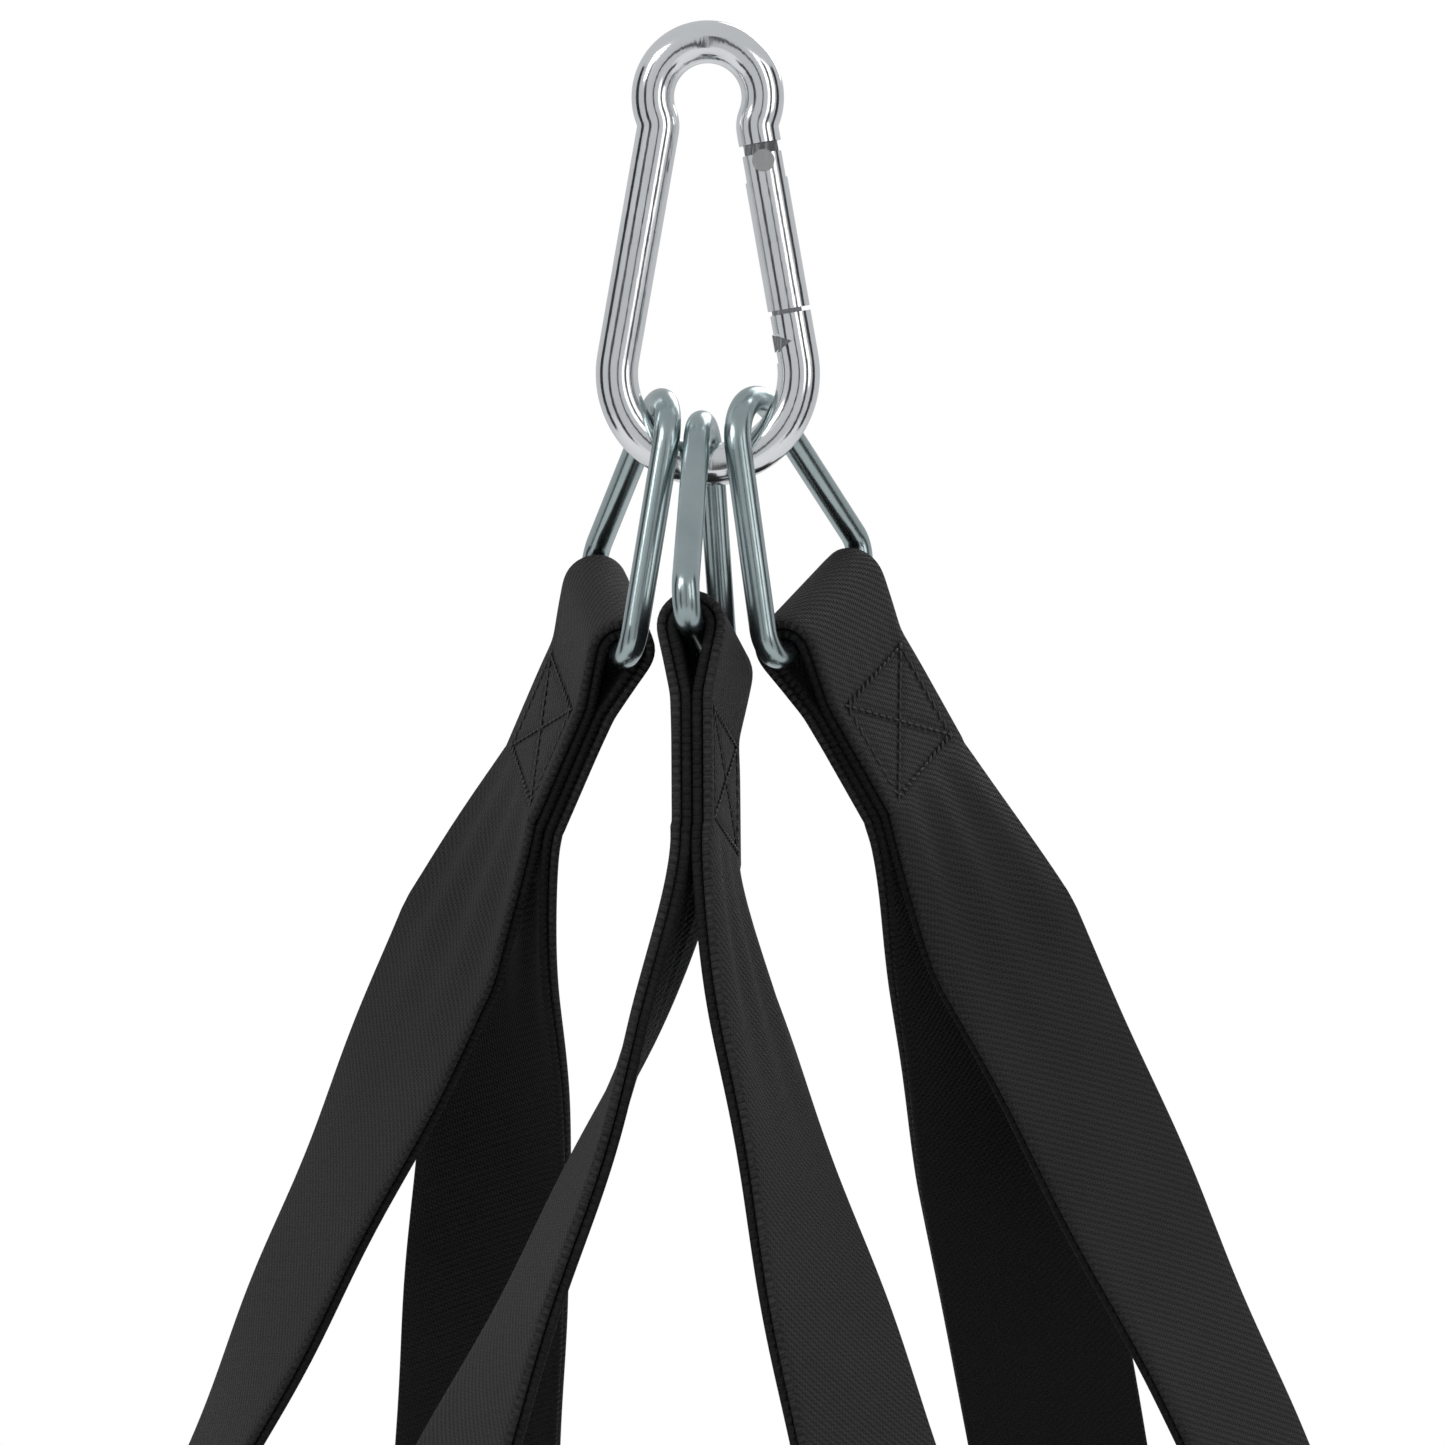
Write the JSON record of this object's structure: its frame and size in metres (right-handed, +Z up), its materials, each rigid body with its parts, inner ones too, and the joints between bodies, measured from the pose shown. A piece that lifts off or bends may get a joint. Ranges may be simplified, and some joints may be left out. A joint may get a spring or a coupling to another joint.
{
  "type": "belt swing seat",
  "caption": "Hanging belt swing with a snap hook, triangle rings, doubled webbing straps, padded seat and back belts and a foot bar.",
  "frame": {"origin": "inside the top of the snap hook's eye, where the hanger bears", "axes": "+Z up, +X to the right of someone facing the seat's front, -Y to the front, where the foot bar is"},
  "size_m": [0.5116, 0.3991, 0.779],
  "materials": {
    "hook_steel": "bright zinc plate on bent round steel",
    "gate_steel": "bright zinc plate on turned steel",
    "rivet_steel": "peened steel",
    "spring_steel": "drawn spring wire, oiled",
    "ring_steel": "zinc plate with a cool tint on welded wire",
    "link_steel": "zinc plate on welded wire",
    "charcoal_webbing": "ribbed polypropylene webbing, charcoal",
    "black_webbing": "ribbed polypropylene webbing, black",
    "cover_cloth": "woven polyester cover",
    "backing_cloth": "plain woven backing",
    "binding_tape": "ribbed edge tape, black",
    "belt_foam": "closed-cell foam",
    "stiffener_plastic": "bent sheet",
    "tube_enamel": "black powder coat on steel tube",
    "grip_foam": "closed-cell foam grip",
    "cap_plastic": "moulded plug"
  },
  "bodies": {
    "hook": {"hook_body": "hook_steel", "gate_rivet": "rivet_steel"},
    "gate": {"hook_gate": "gate_steel", "gate_cross_pin": "gate_steel", "gate_spring": "spring_steel", "gate_plunger": "spring_steel"},
    "seat_sling": {"back_binding": "binding_tape", "back_foam": "belt_foam", "back_front_cover": "cover_cloth", "back_rear_cover": "backing_cloth", "left_back_leg_inner_web": "black_webbing", "left_back_leg_outer_web": "charcoal_webbing", "left_back_link": "link_steel", "left_back_tab_web": "charcoal_webbing", "left_loop_inner_web": "black_webbing", "left_loop_outer_web": "charcoal_webbing", "left_ring": "ring_steel", "left_seat_leg_inner_web": "black_webbing", "left_seat_leg_outer_web": "charcoal_webbing", "left_seat_link": "link_steel", "right_back_leg_inner_web": "black_webbing", "right_back_leg_outer_web": "charcoal_webbing", "right_back_link": "link_steel", "right_back_tab_web": "charcoal_webbing", "right_loop_inner_web": "black_webbing", "right_loop_outer_web": "charcoal_webbing", "right_ring": "ring_steel", "right_seat_leg_inner_web": "black_webbing", "right_seat_leg_outer_web": "charcoal_webbing", "right_seat_link": "link_steel", "seat_base_cover": "backing_cloth", "seat_binding": "binding_tape", "seat_foam": "belt_foam", "seat_stiffener": "stiffener_plastic", "seat_top_cover": "cover_cloth", "seat_web": "charcoal_webbing"},
    "foot_sling": {"foot_pad": "grip_foam", "foot_tube": "tube_enamel", "left_foot_cap": "cap_plastic", "left_foot_leg_inner_web": "black_webbing", "left_foot_leg_outer_web": "charcoal_webbing", "left_foot_link": "link_steel", "left_foot_loop_web": "charcoal_webbing", "middle_loop_inner_web": "black_webbing", "middle_loop_outer_web": "charcoal_webbing", "middle_ring": "ring_steel", "right_foot_cap": "cap_plastic", "right_foot_leg_inner_web": "black_webbing", "right_foot_leg_outer_web": "charcoal_webbing", "right_foot_link": "link_steel", "right_foot_loop_web": "charcoal_webbing"}
  },
  "joints": [
    {"name": "gate_hinge", "type": "hinge", "parent": "hook", "child": "gate", "pos_m": [0.01412, 0.00224, -0.02512], "axis": [-0.1564, 0.9877, 0], "range_deg": [0, 26], "stiffness_Nm_per_rad": 0.02, "springref_deg": -28.65},
    {"name": "seat_swing", "type": "hinge", "parent": "hook", "child": "seat_sling", "pos_m": [0, 0, -0.099], "axis": [0.9877, 0.1564, 0], "range_deg": [-7, 7]},
    {"name": "foot_swing", "type": "hinge", "parent": "seat_sling", "child": "foot_sling", "pos_m": [0, 0, -0.1035], "axis": [0.9877, 0.1564, 0], "range_deg": [-12, 0]}
  ]
}
